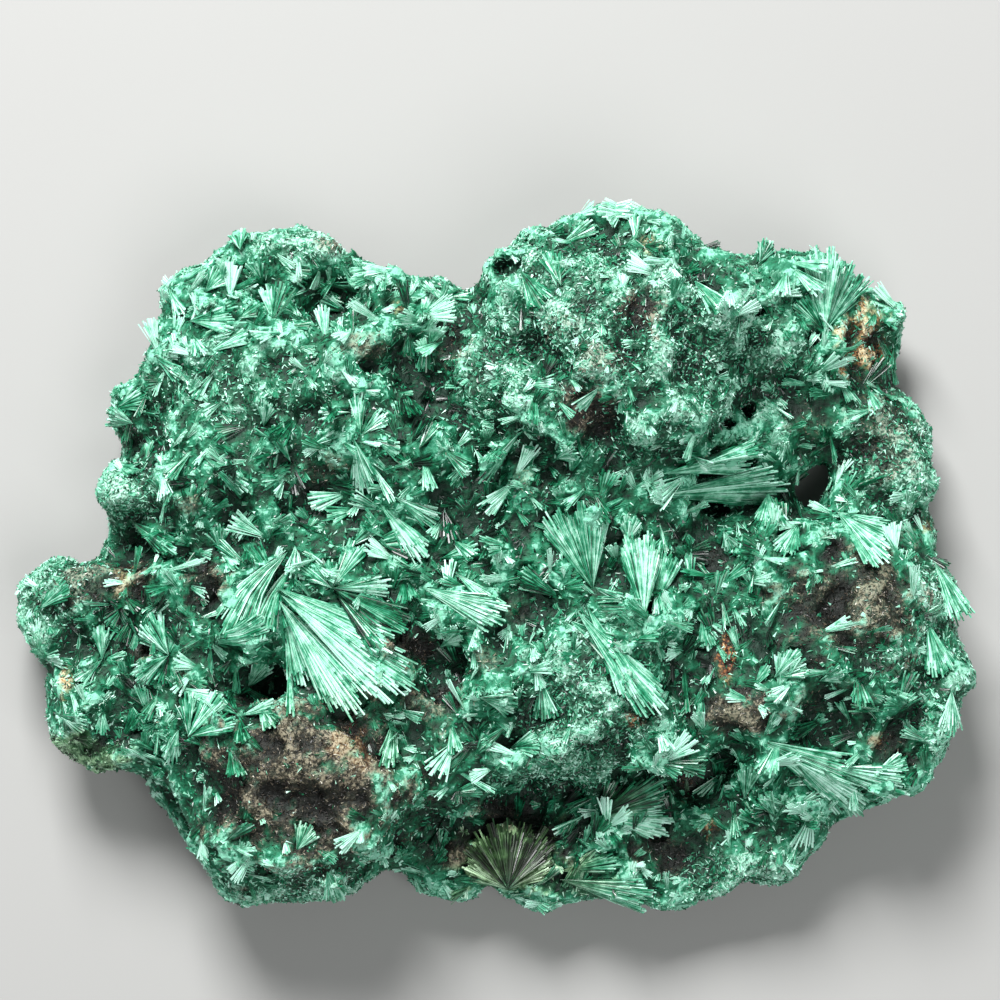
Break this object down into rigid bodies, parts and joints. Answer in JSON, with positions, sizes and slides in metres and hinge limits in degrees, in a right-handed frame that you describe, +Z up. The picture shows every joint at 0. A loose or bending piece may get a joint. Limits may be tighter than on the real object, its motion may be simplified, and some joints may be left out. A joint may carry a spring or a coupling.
{
  "type": "malachite specimen",
  "caption": "Rough plate of intergrown malachite crystal fans with domed lumps, ledges, pits and one small hole, lying on its back.",
  "frame": {"origin": "under the middle of the bounding box, on the surface that the specimen rests on", "axes": "+Z up, out of the crystalline face; +Y towards the face's upper edge; +X along its length"},
  "size_m": [0.0938, 0.069, 0.0252],
  "materials": {
    "malachite": "silky fibrous green crystals, paler where they catch the light, with dull brown-black patches"
  },
  "bodies": {
    "root": {"malachite": "malachite"}
  },
  "joints": []
}
